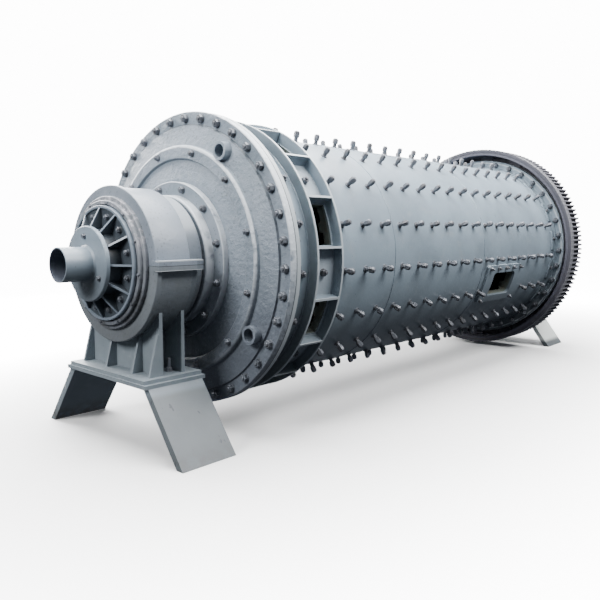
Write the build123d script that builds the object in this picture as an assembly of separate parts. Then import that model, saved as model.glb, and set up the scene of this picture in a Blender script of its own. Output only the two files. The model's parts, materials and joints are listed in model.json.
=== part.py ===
from build123d import *
import os
from math import cos, radians, sin

# A ball mill of 1830 mm bore and 4500 mm length: a lined drum that turns on two
# trunnion bearings. X runs along the axis from the port end to the gear end, and
# the viewer's side is -Y. Every piece is modelled about the axis, as a distance
# along X and a radius from it, and is lifted at the end so that Z = 0 is the ground.

# Overall places
axis_height = 1200
fit = 0.2
running_gap = 0.3

# Edges: turned ones are bevelled, and cast ones rounded
edge_bevel = 4
cast_bevel = 15
hub_round = 12
shoulder_round = 18

# Drum shell: three rolled courses with a bolting flange at each end
shell_length = 4500
shell_bore_radius = 915
shell_wall = 18
port_seam_x = -1000
manhole_seam_x = 500
flange_radius = 1040
shell_flange_thickness = 40
shell_flange_hub = 30
head_flange_thickness = 50

# Lining: 18 rows of plates, each with a lifter bar
row_count = 18
liner_thickness = 45
lifter_height = 28
lifter_root_width = 110
lifter_top_width = 60
row_angle = -4

# Port ring: two hoops with ribs between, and every second pocket open
port_ring_start = 230
port_ring_gap = 240
hoop_thickness = 16
hoop_height = 80
port_rib_thickness = 16
port_margin = 12
first_port_angle = 16

# Manhole, with a saddle frame round it
manhole_x = 955
manhole_angle = -19.5
manhole_length = 470
manhole_width = 244
manhole_frame_length = 760
manhole_frame_width = 390
manhole_frame_thickness = 25
manhole_corner_radius = 40

# Heads: cast cones with a bolted rim, a boss ring and a seat for the trunnion
rim_face_radius = 950
cone_foot_rise = 14
cone_foot_draft = 6
boss_ring_outer_radius = 800
boss_ring_width = 88
boss_ring_draft = 8
boss_groove_depth = 18
head_rise = 80
head_wall = 62
head_seat_depth = 28
head_seat_apron = 24
spigot_depth = 20
spigot_width = 45
trunnion_bore_radius = 235
lifting_boss_radius = 62
lifting_boss_bore = 44
lifting_boss_circle = 866
lifting_boss_height = 80
lifting_boss_root = 8
lifting_bore_floor = 12
lifting_boss_angle = 58
lifting_boss_count = 4

# Trunnions, bolted to the heads
trunnion_flange_radius = 550
trunnion_flange_thickness = 45
trunnion_hub_radius = 455
trunnion_hub_length = 65
journal_radius = 300
journal_end = 620
end_flange_radius = 372
end_flange_thickness = 35

# Ribbed covers and the pipes through them
cover_thickness = 35
cover_recess = 12
cover_lip = 17
cover_lip_draft = 6
cover_hub_radius = 215
cover_hub_height = 78
cover_hub_draft = 10
cover_rib_count = 12
cover_rib_thickness = 12
cover_rib_root = 40
cover_rib_setback = 3
cover_rib_seat = 2
pipe_radius = 109.5
pipe_wall = 8
pipe_weld = 12
pipe_flange_radius = 240
pipe_flange_thickness = 27
pipe_reach = 190

# Bearings: a split housing, a lower bush and a seal at each face
housing_length = 320
housing_wall = 30
body_rear_wall = 50
cap_length = 268
cap_radius = 490
body_radius = 500
front_lip = 12
body_lip = 20
front_wall_bore = 400
rear_wall_bore = 330
split_bar_width = 45
cap_bar_thickness = 34
body_bar_thickness = 30
bar_overhang = 10
bush_length = 220
bush_thickness = 45
bush_overhang = 20
front_seal_outer = 432
front_seal_step = 405
front_seal_length = 48
front_seal_step_length = 25
front_seal_clearance = 8
rear_seal_outer = 450
rear_seal_length = 90
rear_seal_clearance = 10

# Pedestals: a base plate, two cross plates that cradle the housing, and ribs
pedestal_height = 707
base_plate_length = 450
base_plate_width = 888
base_plate_thickness = 25
cross_plate_thickness = 25
cross_plate_width = 800
cross_plate_drop = 275
front_cross_plate = 60
rear_cross_plate = 110
rib_thickness = 20
near_rib_offset = 200
far_rib_offset = 105
rib_foot_reach = 152
rib_top_reach = 84
rib_rise = 60

# Stand: a sole plate on two splayed legs under each bearing
sole_plate_length = 470
sole_plate_width = 940
sole_plate_thickness = 25
leg_length = 420
leg_splay = 330
leg_seat = 60

# Girth gear: two halves, each with toothed rim and a web with windows
gear_module = 16
gear_teeth = 144
gear_face = 320
gear_inset = 190
gear_rim_thickness = 32
gear_web_thickness = 40
gear_web_root = 5
web_window_count = 18
web_window_angle = 12
web_window_margin = 6
joint_tooth = 27
tooth_root_share = 0.66
tooth_pitch_share = 0.50
tooth_tip_share = 0.24

# Values that follow from these
shell_radius = shell_bore_radius + shell_wall
shell_end = shell_length / 2
head_face = shell_end + head_flange_thickness
liner_bore_radius = shell_bore_radius - fit - liner_thickness
row_pitch = 360 / row_count
hoop_radius = shell_radius + hoop_height
boss_ring_inner_radius = boss_ring_outer_radius - boss_ring_width
trunnion_face = head_rise + trunnion_flange_thickness
trunnion_end = journal_end + end_flange_thickness
cover_end = trunnion_end + cover_thickness + cover_hub_height
pipe_bore_radius = pipe_radius - pipe_wall
pipe_end = cover_end + pipe_flange_thickness + pipe_reach
housing_front = journal_end
housing_rear = housing_front - housing_length
cap_rear = housing_front - cap_length
bearing_centre = (housing_front + housing_rear) / 2
split_bar_reach = body_radius + split_bar_width
tooth_pitch = 360 / gear_teeth
pitch_radius = gear_module * gear_teeth / 2
tip_radius = pitch_radius + gear_module
root_radius = pitch_radius - 1.25 * gear_module
rim_bore_radius = root_radius - gear_rim_thickness
gear_start = head_face - gear_inset
gear_end = gear_start + gear_face
web_end = head_face + gear_web_thickness
joint_angle = (joint_tooth + 0.5) * tooth_pitch
sole_top = pedestal_height + base_plate_thickness
leg_top = sole_top + sole_plate_thickness


def port_x(outward):
    """X of a place measured outward from the face of the port-end head."""
    return -(head_face + outward)


def profile(corners, rounded=()):
    """Face in the XZ plane from (x, z) corners, bevelled where a third value says so.

    Rounded lists (x, z, radius) of corners that are rounded instead.
    """
    face = make_face(Polyline(*[(x, 0, z) for x, z, *_ in corners], close=True)).face()
    for x, z, *bevel in corners:
        if bevel:
            corner = face.vertices().sort_by_distance((x, 0, z))[0]
            face = face.chamfer_2d(bevel[0], bevel[0], [corner])
    for x, z, radius in rounded:
        corner = face.vertices().sort_by_distance((x, 0, z))[0]
        face = face.fillet_2d(radius, [corner])
    return face


def revolved(corners, rounded=()):
    """Solid of revolution about the axis from (x, radius) corners."""
    return revolve(profile(corners, rounded), Axis.X)


def end_revolved(corners, rounded=()):
    """Solid of revolution at the port end, from (outward, radius) corners."""
    return revolved(
        [(port_x(outward), *rest) for outward, *rest in corners],
        [(port_x(outward), *rest) for outward, *rest in rounded],
    )


def tube(x_start, x_end, inner, outer):
    """Plain ring about the axis."""
    return revolved([(x_start, inner), (x_end, inner), (x_end, outer), (x_start, outer)])


def rod(x_start, x_end, radius):
    """Solid round bar on the axis."""
    bar = Rot(0, 90, 0) * Cylinder(radius, x_end - x_start)
    return Pos((x_start + x_end) / 2, 0, 0) * bar


def at_angle(shape, angle):
    """Turn a shape that points up to an angle above the horizontal, viewer's side."""
    return Rot(90 - angle, 0, 0) * shape


def block(x_range, y_range, z_range):
    """Box between stated limits."""
    size = [high - low for low, high in (x_range, y_range, z_range)]
    middle = [(high + low) / 2 for low, high in (x_range, y_range, z_range)]
    return Pos(*middle) * Box(*size)


def upright_plate(corners, y_middle, thickness):
    """Plate that stands along X at the port end, from (outward, z) corners."""
    outline = Polyline(*[(port_x(u), y_middle, z) for u, z in corners], close=True)
    return extrude(make_face(outline), thickness / 2, both=True)


def row_angles():
    """Angles of the liner rows."""
    return [row_angle + row_pitch * row for row in range(row_count)]


def port_angles():
    """Angles of the open ports."""
    return [first_port_angle + 2 * row_pitch * port for port in range(row_count // 2)]


def port_cutters():
    """Radial blocks that open every second pocket of the port ring."""
    start = -shell_end + port_ring_start + hoop_thickness
    pocket = 2 * shell_radius * sin(radians(row_pitch / 2))
    width = pocket - port_rib_thickness - 2 * port_margin
    middle = start + port_ring_gap / 2
    length = port_ring_gap - 2 * port_margin
    depth = 2 * (liner_thickness + lifter_height + shell_wall)
    slot = Pos(middle, 0, shell_bore_radius) * Box(length, width, depth)
    return [at_angle(slot, angle) for angle in port_angles()]


def manhole_block(length, width, corner, depth):
    """Radial block with rounded corners at the manhole."""
    profile = RectangleRounded(length, width, corner)
    solid = extrude(profile, depth / 2, both=True)
    return at_angle(Pos(manhole_x, 0, shell_radius) * solid, manhole_angle)


def manhole_opening():
    """The hole through frame, shell and lining."""
    depth = 4 * (liner_thickness + shell_wall + manhole_frame_thickness)
    return manhole_block(manhole_length, manhole_width, manhole_corner_radius, depth)


def make_shell_course(x_start, x_end, cutters):
    """One rolled course of the shell."""
    return tube(x_start, x_end, shell_bore_radius, shell_radius) - cutters


def make_liner_course(x_start, x_end, cutters):
    """The lining of one course: plates with a lifter bar in each row."""
    outer = shell_bore_radius - fit
    lining = tube(x_start, x_end, liner_bore_radius, outer)
    foot = liner_bore_radius + liner_thickness / 2
    top = liner_bore_radius - lifter_height
    half_foot = lifter_root_width / 2
    half_top = lifter_top_width / 2
    corners = [(-half_foot, foot), (half_foot, foot), (half_top, top), (-half_top, top)]
    outline = Polyline(*[(x_start, y, z) for y, z in corners], close=True)
    bar = extrude(make_face(outline), x_end - x_start, dir=(1, 0, 0))
    bars = [at_angle(bar, angle) for angle in row_angles()]
    return lining + bars - cutters


def make_shell_flange():
    """Bolting flange on the port end of the shell, with a tapered hub."""
    bore = shell_radius + fit
    back = -shell_end + shell_flange_thickness
    return revolved([
        (-shell_end, bore), (-shell_end, flange_radius), (back, flange_radius, edge_bevel),
        (back, bore + shell_flange_hub), (back + shell_flange_hub, bore),
    ])


def make_hoop(x_start):
    """One hoop of the port ring."""
    return tube(x_start, x_start + hoop_thickness, shell_radius + fit, hoop_radius)


def make_port_ribs():
    """Ribs between the hoops, one between every two pockets."""
    start = -shell_end + port_ring_start + hoop_thickness
    rib = block(
        (start, start + port_ring_gap),
        (-port_rib_thickness / 2, port_rib_thickness / 2),
        (shell_radius + fit, hoop_radius),
    )
    angles = [angle + row_pitch / 2 for angle in row_angles()]
    return Compound(children=[at_angle(rib, angle) for angle in angles])


def make_manhole_frame():
    """Saddle frame on the shell round the manhole."""
    half = manhole_frame_length
    bore = shell_radius + fit
    saddle = tube(manhole_x - half, manhole_x + half, bore, bore + manhole_frame_thickness)
    depth = 2 * manhole_frame_width
    outer = manhole_block(manhole_frame_length, manhole_frame_width, manhole_corner_radius, depth)
    return (saddle & outer) - manhole_opening()


def lifting_boss(u_start, u_end, radius, angle):
    """Round bar at a lifting boss, between two distances outward."""
    bar = rod(port_x(u_end), port_x(u_start), radius)
    return at_angle(Pos(0, 0, lifting_boss_circle) * bar, angle)


def make_head():
    """Cast head of the port end: rim, cone, boss ring, trunnion seat and lifting bosses."""
    spigot_radius = shell_bore_radius - fit
    spigot_end = -head_flange_thickness - spigot_depth
    spigot_bore = spigot_radius - spigot_width
    cone_slope = head_rise / (rim_face_radius - trunnion_flange_radius)
    boss_foot = cone_foot_rise + (rim_face_radius - boss_ring_outer_radius) * cone_slope
    groove_floor = head_rise - boss_groove_depth
    inside = head_rise - head_wall
    head = end_revolved([
        (0, flange_radius, edge_bevel), (0, rim_face_radius),
        (cone_foot_rise, rim_face_radius - cone_foot_draft),
        (boss_foot, boss_ring_outer_radius + boss_ring_draft),
        (head_rise, boss_ring_outer_radius),
        (head_rise, boss_ring_inner_radius, edge_bevel),
        (groove_floor, boss_ring_inner_radius - boss_ring_draft),
        (head_rise, trunnion_flange_radius + head_seat_apron), (head_rise, trunnion_bore_radius),
        (inside - head_seat_depth, trunnion_bore_radius), (inside - head_seat_depth, journal_radius),
        (inside, journal_radius + head_seat_depth), (spigot_end + head_seat_depth, spigot_bore),
        (spigot_end, spigot_bore), (spigot_end, spigot_radius),
        (-head_flange_thickness, spigot_radius), (-head_flange_thickness, flange_radius),
    ], [(head_rise, boss_ring_outer_radius, shoulder_round)])
    for number in range(lifting_boss_count):
        angle = lifting_boss_angle + 360 / lifting_boss_count * number
        head = head + lifting_boss(-lifting_boss_root, lifting_boss_height, lifting_boss_radius, angle)
        bore_end = lifting_boss_height + lifting_boss_root
        head = head - lifting_boss(lifting_bore_floor, bore_end, lifting_boss_bore, angle)
    return head


def make_trunnion():
    """Hollow trunnion of the port end: flange, hub, journal and end flange."""
    hub_end = trunnion_face + trunnion_hub_length
    return end_revolved([
        (head_rise, trunnion_bore_radius), (head_rise, trunnion_flange_radius),
        (trunnion_face, trunnion_flange_radius, edge_bevel), (trunnion_face, trunnion_hub_radius),
        (hub_end, trunnion_hub_radius), (hub_end, journal_radius), (journal_end, journal_radius),
        (journal_end, end_flange_radius), (trunnion_end, end_flange_radius),
        (trunnion_end, trunnion_bore_radius),
    ], [(hub_end, trunnion_hub_radius, hub_round)])


def make_cover():
    """Ribbed cover on the end of the port-end trunnion."""
    rim = trunnion_end + cover_thickness
    floor = rim - cover_recess
    lip_radius = end_flange_radius - cover_lip
    cover = end_revolved([
        (trunnion_end, pipe_bore_radius), (trunnion_end, end_flange_radius),
        (rim, end_flange_radius, edge_bevel), (rim, lip_radius),
        (floor, lip_radius - cover_lip_draft), (floor, cover_hub_radius + cover_hub_draft),
        (cover_end, cover_hub_radius), (cover_end, pipe_bore_radius),
    ])
    foot = floor - cover_recess / 2
    rib_root = pipe_bore_radius + cover_rib_root
    rib_top = cover_end - cover_rib_setback
    rib_end = lip_radius + cover_rib_seat
    rib = upright_plate(
        [(foot, rib_root), (rib_top, rib_root), (rib_top, cover_hub_radius + cover_hub_draft),
         (rim, rib_end), (foot, rib_end)],
        0, cover_rib_thickness,
    )
    for number in range(cover_rib_count):
        cover = cover + at_angle(rib, 360 / cover_rib_count * number)
    return cover


def make_pipe():
    """Pipe stub with its flange on the port-end cover."""
    flange_end = cover_end + pipe_flange_thickness
    return end_revolved([
        (cover_end, pipe_bore_radius), (cover_end, pipe_flange_radius),
        (flange_end, pipe_flange_radius, edge_bevel), (flange_end, pipe_radius + pipe_weld),
        (flange_end + pipe_weld, pipe_radius), (pipe_end, pipe_radius), (pipe_end, pipe_bore_radius),
    ])


def half_of(solid, upper):
    """The part of a solid above or below the axis."""
    reach = 3 * body_radius
    z_range = (0, reach) if upper else (-reach, 0)
    keep = block((port_x(2 * housing_front), port_x(0)), (-reach, reach), z_range)
    return solid & keep


def housing_ring(outer, lip, rear, rear_wall):
    """Drum-shaped housing: front wall with a lip, barrel and rear wall."""
    inner = outer - housing_wall
    front_inside = housing_front - housing_wall
    rear_inside = rear + rear_wall
    return end_revolved([
        (housing_front, front_wall_bore), (housing_front, outer + lip, edge_bevel),
        (front_inside, outer + lip), (front_inside, outer), (rear, outer, edge_bevel),
        (rear, rear_wall_bore), (rear_inside, rear_wall_bore),
        (rear_inside, inner), (front_inside, inner), (front_inside, front_wall_bore),
    ])


def split_bars(inner, z_range):
    """Flange bars along both sides of the split."""
    x_range = (port_x(housing_front + bar_overhang), port_x(housing_rear - bar_overhang))
    near = block(x_range, (-split_bar_reach, -inner), z_range)
    far = block(x_range, (inner, split_bar_reach), z_range)
    return near + far


def make_bearing_cap():
    """Upper half of the port-end housing, shorter at the back than its split bars."""
    ring = half_of(housing_ring(cap_radius, front_lip, cap_rear, housing_wall), True)
    return ring + split_bars(cap_radius - housing_wall / 2, (0, cap_bar_thickness))


def make_bearing_body():
    """Lower half of the port-end housing, with the seat of the bush."""
    seat_bore = journal_radius + running_gap + bush_thickness + fit
    seat_half = bush_length / 2 - bush_overhang
    seat_root = body_radius - housing_wall / 2
    start, end = bearing_centre - seat_half, bearing_centre + seat_half
    seat = end_revolved([(start, seat_bore), (end, seat_bore), (end, seat_root), (start, seat_root)])
    ring = housing_ring(body_radius, body_lip, housing_rear, body_rear_wall)
    lower = half_of(ring + seat, False)
    return lower + split_bars(seat_root, (-body_bar_thickness, 0))


def make_bush():
    """Lower bush that carries the port-end journal."""
    bore = journal_radius + running_gap
    outer = bore + bush_thickness
    start, end = bearing_centre - bush_length / 2, bearing_centre + bush_length / 2
    ring = end_revolved([(start, bore), (end, bore), (end, outer), (start, outer)])
    return half_of(ring, False)


def make_front_seal():
    """Stepped seal ring round the end flange, on the front wall."""
    bore = end_flange_radius + front_seal_clearance
    step = housing_front + front_seal_step_length
    end = housing_front + front_seal_length
    return end_revolved([
        (housing_front, bore), (end, bore), (end, front_seal_step, edge_bevel),
        (step, front_seal_step), (step, front_seal_outer, edge_bevel),
        (housing_front, front_seal_outer),
    ])


def make_rear_seal():
    """Collar behind the housing, round the trunnion's neck and up to the cap above."""
    bore = journal_radius + rear_seal_clearance
    end = housing_rear - rear_seal_length
    collar = end_revolved([
        (housing_rear, bore), (end, bore), (end, rear_seal_outer, cast_bevel),
        (housing_rear, rear_seal_outer),
    ])
    upper = end_revolved([
        (housing_rear, bore), (cap_rear, bore),
        (cap_rear, rear_seal_outer), (housing_rear, rear_seal_outer),
    ])
    return collar + half_of(upper, True)


def make_base_plate():
    """Base plate of the port-end pedestal."""
    half_length = base_plate_length / 2
    half_width = base_plate_width / 2
    return block(
        (port_x(bearing_centre + half_length), port_x(bearing_centre - half_length)),
        (-half_width, half_width),
        (-sole_top, -pedestal_height),
    )


def cradle():
    """Space that the lower housing takes up in its pedestal."""
    barrel = rod(port_x(2 * housing_front), port_x(0), body_radius + fit)
    lip_back = port_x(housing_front - housing_wall - fit)
    lip = rod(port_x(housing_front + fit), lip_back, body_radius + body_lip + fit)
    return barrel + lip


def make_cross_plates():
    """The two plates across the pedestal, cut to the round of the housing."""
    half_cross = cross_plate_width / 2
    plates = []
    for centre in (bearing_centre + front_cross_plate, bearing_centre - rear_cross_plate):
        x_range = (port_x(centre + cross_plate_thickness / 2), port_x(centre - cross_plate_thickness / 2))
        plate = block(x_range, (-half_cross, half_cross), (-pedestal_height, -cross_plate_drop))
        plates.append(plate - cradle())
    return Compound(children=plates)


def make_pedestal_ribs():
    """Four ribs in front of the cross plates and two webs between them."""
    front = bearing_centre + front_cross_plate
    rear = bearing_centre - rear_cross_plate
    half_plate = cross_plate_thickness / 2
    top = rib_rise - body_radius
    front_corners = [
        (front + half_plate, -pedestal_height), (bearing_centre + rib_foot_reach, -pedestal_height),
        (bearing_centre + rib_top_reach, top), (front + half_plate, top),
    ]
    web_corners = [
        (rear + half_plate, -pedestal_height), (front - half_plate, -pedestal_height),
        (front - half_plate, top), (rear + half_plate, top),
    ]
    outer_rib = cross_plate_width / 2 - rib_thickness / 2
    ribs = []
    for place in (-outer_rib, -near_rib_offset, far_rib_offset, outer_rib):
        ribs.append(upright_plate(front_corners, place, rib_thickness) - cradle())
    for place in (-near_rib_offset, far_rib_offset):
        ribs.append(upright_plate(web_corners, place, rib_thickness) - cradle())
    return Compound(children=ribs)


def make_sole_plate():
    """Sole plate between the pedestal and the legs."""
    half_length = sole_plate_length / 2
    half_width = sole_plate_width / 2
    return block(
        (port_x(bearing_centre + half_length), port_x(bearing_centre - half_length)),
        (-half_width, half_width),
        (-leg_top, -sole_top),
    )


def make_leg(side):
    """Splayed leg plate from the sole plate to the ground."""
    top_edge = sole_plate_width / 2
    corners = [
        (side * top_edge, -leg_top), (side * (top_edge - leg_seat), -leg_top),
        (side * (top_edge - leg_seat + leg_splay), -axis_height),
        (side * (top_edge + leg_splay), -axis_height),
    ]
    start = port_x(bearing_centre + leg_length / 2)
    outline = Polyline(*[(start, y, z) for y, z in corners], close=True)
    return extrude(make_face(outline), leg_length, dir=(1, 0, 0))


def tooth_outline():
    """Corners of the toothed rim as (y, z), six to a tooth."""
    half_widths = (
        (root_radius, tooth_root_share / 2 * tooth_pitch),
        (pitch_radius, tooth_pitch_share / 2 * tooth_pitch),
        (tip_radius, tooth_tip_share / 2 * tooth_pitch),
    )
    corners = []
    for tooth in range(gear_teeth):
        centre = tooth * tooth_pitch
        rising = [(radius, centre - half) for radius, half in half_widths]
        falling = [(radius, centre + half) for radius, half in reversed(half_widths)]
        for radius, angle in rising + falling:
            corners.append((radius * cos(radians(angle)), radius * sin(radians(angle))))
    return corners


def web_window():
    """Cutter for one window in the web of the gear, centred on the top."""
    inner = flange_radius + web_window_margin
    outer = rim_bore_radius - web_window_margin
    start, end = head_face - fit, web_end + fit
    section = profile([(start, inner), (end, inner), (end, outer), (start, outer)])
    return Rot(-web_window_angle / 2, 0, 0) * revolve(section, Axis.X, web_window_angle)


def make_girth_gear():
    """The whole girth gear, with a web that bolts over the head's rim."""
    outline = Polyline(*[(gear_start, y, z) for y, z in tooth_outline()], close=True)
    blank = extrude(make_face(outline), gear_face, dir=(1, 0, 0))
    rim = blank - rod(gear_start, gear_end, rim_bore_radius)
    web = tube(head_face, web_end, rim_face_radius + gear_web_root, rim_bore_radius + gear_web_root)
    window = web_window()
    window_pitch = 360 / web_window_count
    for number in range(web_window_count):
        web = web - at_angle(window, joint_angle + window_pitch * (number + 0.5))
    return rim + web


def gear_half(gear, side):
    """The half of the gear on one side of its joint."""
    reach = 2 * tip_radius
    y_range = (0, reach) if side > 0 else (-reach, 0)
    keep = block((gear_start - fit, gear_end + fit), y_range, (-reach, reach))
    return gear & at_angle(keep, joint_angle)


def mirrored(shape):
    """The gear-end twin of a port-end piece."""
    return mirror(shape, about=Plane.YZ)


def make_drum_nodes():
    """All pieces that turn with the drum."""
    liner_start = -shell_end + spigot_depth + fit
    ports = port_cutters()
    manhole = manhole_opening()
    hoop_start = -shell_end + port_ring_start
    gear = make_girth_gear()
    nodes = {
        "port_course": make_shell_course(-shell_end, port_seam_x, ports),
        "middle_course": make_shell_course(port_seam_x, manhole_seam_x, []),
        "manhole_course": make_shell_course(manhole_seam_x, shell_end, [manhole]),
        "port_liner": make_liner_course(liner_start, port_seam_x, ports),
        "middle_liner": make_liner_course(port_seam_x, manhole_seam_x, []),
        "manhole_liner": make_liner_course(manhole_seam_x, -liner_start, [manhole]),
        "port_ring_front_hoop": make_hoop(hoop_start),
        "port_ring_rear_hoop": make_hoop(hoop_start + hoop_thickness + port_ring_gap),
        "port_ring_ribs": make_port_ribs(),
        "manhole_frame": make_manhole_frame(),
        "girth_gear_near_half": gear_half(gear, -1),
        "girth_gear_far_half": gear_half(gear, 1),
    }
    ends = {
        "shell_flange": make_shell_flange(),
        "head": make_head(),
        "trunnion": make_trunnion(),
        "cover": make_cover(),
        "pipe": make_pipe(),
    }
    for name, solid in ends.items():
        nodes["port_end_" + name] = solid
        nodes["gear_end_" + name] = mirrored(solid)
    return nodes


def make_stand_nodes():
    """All pieces that stand still."""
    pieces = {
        "bearing_cap": make_bearing_cap(),
        "bearing_body": make_bearing_body(),
        "bush": make_bush(),
        "front_seal": make_front_seal(),
        "rear_seal": make_rear_seal(),
        "base_plate": make_base_plate(),
        "cross_plates": make_cross_plates(),
        "pedestal_ribs": make_pedestal_ribs(),
        "sole_plate": make_sole_plate(),
        "near_leg": make_leg(-1),
        "far_leg": make_leg(1),
    }
    nodes = {}
    for name, solid in pieces.items():
        nodes["port_end_" + name] = solid
        nodes["gear_end_" + name] = mirrored(solid)
    return nodes


def main():
    """Build every node, lift it onto the ground and write it."""
    os.makedirs("parts", exist_ok=True)
    nodes = make_drum_nodes()
    nodes.update(make_stand_nodes())
    for name, solid in nodes.items():
        export_step(Pos(0, 0, axis_height) * solid, "parts/" + name + ".step")


main()
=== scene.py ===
import json
import logging
import random
from abc import ABC, abstractmethod
from dataclasses import dataclass
from enum import Enum
from math import cos, pi, radians, sin
from typing import Dict, Iterable, List, Sequence, Tuple, Union

import bpy
from mathutils import Matrix, Vector


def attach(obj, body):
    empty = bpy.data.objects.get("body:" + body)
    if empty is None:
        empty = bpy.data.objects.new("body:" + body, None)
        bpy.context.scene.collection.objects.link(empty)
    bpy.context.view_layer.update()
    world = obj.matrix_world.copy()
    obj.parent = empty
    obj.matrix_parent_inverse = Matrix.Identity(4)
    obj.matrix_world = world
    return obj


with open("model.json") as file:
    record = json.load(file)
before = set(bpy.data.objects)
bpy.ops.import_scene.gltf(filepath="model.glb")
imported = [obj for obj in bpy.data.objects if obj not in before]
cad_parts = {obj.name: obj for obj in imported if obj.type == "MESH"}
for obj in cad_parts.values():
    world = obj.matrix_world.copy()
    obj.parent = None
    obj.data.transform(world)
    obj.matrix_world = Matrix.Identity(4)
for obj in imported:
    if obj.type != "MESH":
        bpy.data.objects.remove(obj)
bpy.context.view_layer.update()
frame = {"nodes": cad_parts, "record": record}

logging.basicConfig(level=logging.INFO, format="%(name)s: %(message)s")
log = logging.getLogger("ball_mill")

Color = Tuple[float, float, float]
Point = Tuple[float, float, float]
Level = Tuple[float, float]

# Places that the solids give, in metres. Angles are in degrees above the
# horizontal, on the viewer's side of the axis.
AXIS_HEIGHT = 1.200
HEAD_FACE = 2.300
SHELL_END = 2.250
SHELL_RADIUS = 0.933
HOOP_FACES = (-2.020, -1.748)
HOOP_THICKNESS = 0.016
HOOP_RADIUS = 1.013
FLANGE_RADIUS = 1.040
HEAD_FOOT_RADIUS = 0.950
BOSS_RING = (0.712, 0.800)
TRUNNION_FLANGE_RADIUS = 0.550
TRUNNION_HUB_RADIUS = 0.455
PIPE_BORE_RADIUS = 0.1015
GEAR_ROOT_RADIUS = 1.132
GEAR_TIP_RADIUS = 1.168
ROW_COUNT = 18
ROW_PITCH = 360 / ROW_COUNT
ROW_ANGLE = -4.0

# Paint that several pieces share, the brightness of the white backdrop, and the angle
# in degrees below which an edge is shaded smooth.
PAINT_BLUE_GREY: Color = (0.205, 0.258, 0.305)
PAINT_SHADE: Color = (0.146, 0.182, 0.216)
JOINT_SHADOW: Color = (0.015, 0.018, 0.020)
BACKDROP_STRENGTH = 14.0
SMOOTH_BELOW = 35.0


class End(Enum):
    """The two ends of the mill, by the side of X = 0 that they lie on."""

    PORT = -1
    GEAR = 1

    @property
    def prefix(self) -> str:
        """Start of the node names at this end."""
        return "port_end" if self is End.PORT else "gear_end"

    def x(self, outward: float) -> float:
        """X of a place measured outward from the face of this end's head."""
        return self.value * (HEAD_FACE + outward)


class Body(Enum):
    """The bodies that pieces ride on."""

    DRUM = "drum"
    STAND = "stand"


def from_port(distance: float) -> float:
    """X of a place measured inward from the face of the port-end head."""
    return distance - HEAD_FACE


def outward_at(angle: float) -> Vector:
    """Unit vector away from the axis at an angle."""
    return Vector((0.0, -cos(radians(angle)), sin(radians(angle))))


def polar(x: float, radius: float, angle: float) -> Vector:
    """Point at a radius and an angle about the axis."""
    return Vector((x, 0.0, AXIS_HEIGHT)) + outward_at(angle) * radius


def stood_at(place: Vector, up: Vector, along: Vector, spin: float = 0.0) -> Matrix:
    """Matrix that stands a piece on a seat.

    Args:
        place: Foot of the piece.
        up: Direction that the piece's own Z takes.
        along: Direction that its X takes before the spin.
        spin: Turn about its own Z, in degrees.

    Returns:
        The matrix from the piece's own space to the mill's.
    """
    turn = Matrix((along, up.cross(along), up)).transposed().to_4x4()
    return Matrix.Translation(place) @ turn @ Matrix.Rotation(radians(spin), 4, "Z")


def on_shell(x: float, radius: float, angle: float, spin: float = 0.0) -> Matrix:
    """Matrix that stands a piece outward on a round surface."""
    return stood_at(polar(x, radius, angle), outward_at(angle), Vector((1, 0, 0)), spin)


def on_face(x: float, radius: float, angle: float, way: int, spin: float = 0.0) -> Matrix:
    """Matrix that stands a piece along the axis on a flat round face."""
    return stood_at(polar(x, radius, angle), Vector((way, 0, 0)), outward_at(angle), spin)


def on_plate(x: float, y: float, z: float, spin: float = 0.0) -> Matrix:
    """Matrix that stands a piece up on a level plate."""
    return stood_at(Vector((x, y, z)), Vector((0, 0, 1)), Vector((1, 0, 0)), spin)


def about_axis(turn: float) -> Matrix:
    """Matrix that turns a piece about the mill's axis, by radians."""
    pivot = Matrix.Translation((0, 0, AXIS_HEIGHT))
    return pivot @ Matrix.Rotation(turn, 4, "X") @ pivot.inverted()


def angles(first: float, count: int) -> List[float]:
    """Evenly spaced angles round the axis."""
    return [first + 360 / count * number for number in range(count)]


def deselect() -> None:
    """Leave no object selected."""
    bpy.ops.object.select_all(action="DESELECT")


def placed(name: str, scale: Point = (1.0, 1.0, 1.0)) -> bpy.types.Object:
    """Name the primitive just added and put its place into its mesh.

    Args:
        name: Its name.
        scale: Its stretch along its own X, Y and Z.

    Returns:
        The primitive.
    """
    piece = bpy.context.active_object
    piece.name = piece.data.name = name
    piece.scale = scale
    bpy.ops.object.transform_apply(location=True, rotation=True, scale=True)
    return piece


def turned(name: str, sides: int, levels: Sequence[Level]) -> bpy.types.Object:
    """Model a turned or many-sided piece upward from its foot.

    Args:
        name: Name of the piece.
        sides: Number of sides round its own Z axis.
        levels: (height, radius) of each level from the foot up.

    Returns:
        The new object.
    """
    deselect()
    height, radius = levels[0]
    bpy.ops.mesh.primitive_circle_add(vertices=sides, radius=radius, fill_type="NGON",
                                      location=(0, 0, height))
    piece = placed(name)
    bpy.ops.object.mode_set(mode="EDIT")
    bpy.ops.mesh.select_all(action="SELECT")
    for next_height, next_radius in levels[1:]:
        bpy.ops.mesh.extrude_region_move(
            TRANSFORM_OT_translate={"value": (0, 0, next_height - height)})
        ratio = next_radius / radius
        bpy.ops.transform.resize(value=(ratio, ratio, 1), center_override=(0, 0, next_height))
        height, radius = next_height, next_radius
    bpy.ops.mesh.select_all(action="SELECT")
    bpy.ops.mesh.normals_make_consistent(inside=False)
    bpy.ops.object.mode_set(mode="OBJECT")
    return piece


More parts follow.
